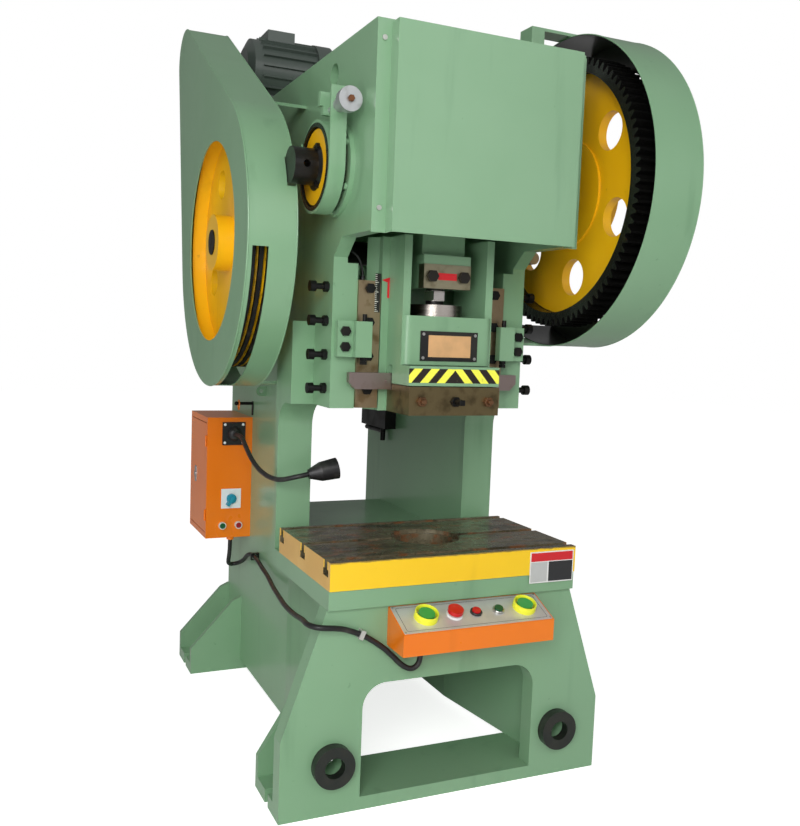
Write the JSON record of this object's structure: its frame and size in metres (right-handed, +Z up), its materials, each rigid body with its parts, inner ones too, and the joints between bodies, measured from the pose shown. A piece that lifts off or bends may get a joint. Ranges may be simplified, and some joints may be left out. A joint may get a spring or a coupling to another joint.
{
  "type": "mechanical stamping press",
  "caption": "Open-back crank press with a welded green frame, guarded flywheel and gear, slide in V-gibs, bolster plate, control box and electric cabinet.",
  "frame": {"origin": "on the floor under the axis of the slide", "axes": "X to the operator's right, Y to the back, Z up"},
  "size_m": [1.032, 1.467, 2.1546],
  "materials": {
    "green_paint": "gloss",
    "orange_paint": "gloss",
    "yellow_paint": "gloss",
    "bolster_steel": "greased",
    "steel": "satin",
    "gib_steel": "oiled",
    "black_steel": "oxide black",
    "cast_steel": "greased",
    "rubber": "matte",
    "black_plastic": "matte",
    "box_paint": "satin",
    "yellow_plastic": "gloss",
    "green_plastic": "gloss",
    "red_plastic": "gloss",
    "blue_plastic": "gloss",
    "plate": "satin",
    "zinc": "zinc plated"
  },
  "bodies": {
    "frame": {"side_wall_left": "green_paint", "side_wall_right": "green_paint", "front_plate": "green_paint", "lifting_sockets": "green_paint", "table_plate": "green_paint", "bolster_plate": "bolster_steel", "front_foot": "green_paint", "rear_feet": "green_paint", "gussets": "green_paint", "throat_frames": "green_paint", "gib_carriers": "green_paint", "cross_plates": "green_paint", "crank_cover": "green_paint", "cover_screws": "zinc", "crank_bearings": "green_paint", "drive_bearings": "green_paint", "brake_band": "green_paint", "brake_bracket": "green_paint", "brake_spring": "zinc", "gibs": "gib_steel", "front_bolts": "black_steel", "adjusting_bolts": "black_steel", "knockout_brackets": "green_paint", "stop_screws": "steel", "clutch_linkage": "black_steel", "v_belts": "rubber", "motor": "green_paint", "flywheel_guard": "green_paint", "gear_guard": "green_paint", "guard_stays": "green_paint", "electric_cabinet": "orange_paint", "indicator_lamps": "green_plastic", "lamp_neck": "rubber", "lamp_shade": "black_plastic", "control_box": "orange_paint", "button_shrouds": "yellow_plastic", "control_cable": "rubber", "wall_fittings": "black_steel", "oil_line": "rubber"},
    "crank": {"crankshaft": "black_steel", "brake_drum": "yellow_paint"},
    "rod": {"connecting_rod": "cast_steel", "rod_clamp": "steel"},
    "screw": {"ball_screw": "steel"},
    "ram": {"slide": "green_paint", "ball_cap": "steel", "warning_plate": "plate", "shank_clamp": "gib_steel"},
    "bar": {"knockout_bar": "steel"},
    "gear": {"big_gear": "yellow_paint"},
    "countershaft": {"drive_shaft": "cast_steel", "flywheel": "yellow_paint"},
    "rotor": {"motor_pulley": "cast_steel"},
    "door": {"cabinet_door": "orange_paint"},
    "knob": {"switch_knob": "blue_plastic"},
    "palm_button_left": {"palm_left": "green_plastic"},
    "palm_button_right": {"palm_right": "green_plastic"},
    "stop_button": {"emergency_stop": "red_plastic"},
    "red_push": {"red_button": "red_plastic"},
    "green_push": {"green_button": "green_plastic"}
  },
  "joints": [
    {"name": "crank_turn", "type": "hinge", "parent": "frame", "child": "crank", "pos_m": [0, 0, 1.595], "axis": [1, 0, 0], "range_deg": [-180, 0]},
    {"name": "rod_on_pin", "type": "hinge", "parent": "crank", "child": "rod", "pos_m": [0, 0, 1.645], "axis": [1, 0, 0], "range_deg": [0, 180]},
    {"name": "height_screw", "type": "hinge", "parent": "rod", "child": "screw", "pos_m": [0, 0, 1.4], "axis": [0, 0, 1], "range_deg": [-180, 180]},
    {"name": "ram_slide", "type": "slide", "parent": "frame", "child": "ram", "axis": [0, 0, 1], "range_m": [-0.1, 0]},
    {"name": "bar_lift", "type": "slide", "parent": "ram", "child": "bar", "axis": [0, 0, 1], "range_m": [0, 0.018]},
    {"name": "gear_turn", "type": "hinge", "parent": "frame", "child": "gear", "pos_m": [0, 0, 1.595], "axis": [1, 0, 0], "continuous": true},
    {"name": "countershaft_turn", "type": "hinge", "parent": "frame", "child": "countershaft", "pos_m": [0, 0.39766, 1.4262], "axis": [1, 0, 0], "continuous": true},
    {"name": "motor_turn", "type": "hinge", "parent": "frame", "child": "rotor", "pos_m": [0, 0.815, 2.025], "axis": [1, 0, 0], "continuous": true},
    {"name": "door_swing", "type": "hinge", "parent": "frame", "child": "door", "pos_m": [-0.4383, 0.76025, 0.69], "axis": [0, 0, 1], "range_deg": [0, 110]},
    {"name": "switch_turn", "type": "hinge", "parent": "frame", "child": "knob", "pos_m": [-0.353, 0.75, 0.622], "axis": [0, 1, 0], "range_deg": [0, 90]},
    {"name": "palm_left_push", "type": "slide", "parent": "frame", "child": "palm_button_left", "axis": [0, 0.3905, -0.9206], "range_m": [0, 0.005], "stiffness_N_per_m": 400, "springref_m": -0.001},
    {"name": "palm_right_push", "type": "slide", "parent": "frame", "child": "palm_button_right", "axis": [0, 0.3905, -0.9206], "range_m": [0, 0.005], "stiffness_N_per_m": 400, "springref_m": -0.001},
    {"name": "stop_push", "type": "slide", "parent": "frame", "child": "stop_button", "axis": [0, 0.3905, -0.9206], "range_m": [0, 0.004], "stiffness_N_per_m": 800, "springref_m": -0.001},
    {"name": "red_button_push", "type": "slide", "parent": "frame", "child": "red_push", "axis": [0, 0.3905, -0.9206], "range_m": [0, 0.004], "stiffness_N_per_m": 400, "springref_m": -0.001},
    {"name": "green_button_push", "type": "slide", "parent": "frame", "child": "green_push", "axis": [0, 0.3905, -0.9206], "range_m": [0, 0.004], "stiffness_N_per_m": 400, "springref_m": -0.001}
  ],
  "couplings": [
    {"joint": "rod_on_pin", "follows": "crank_turn", "ratio": -1},
    {"joint": "ram_slide", "follows": "crank_turn", "m_per_rad": 0.031831},
    {"joint": "countershaft_turn", "follows": "gear_turn", "ratio": -5},
    {"joint": "motor_turn", "follows": "gear_turn", "ratio": -25}
  ]
}
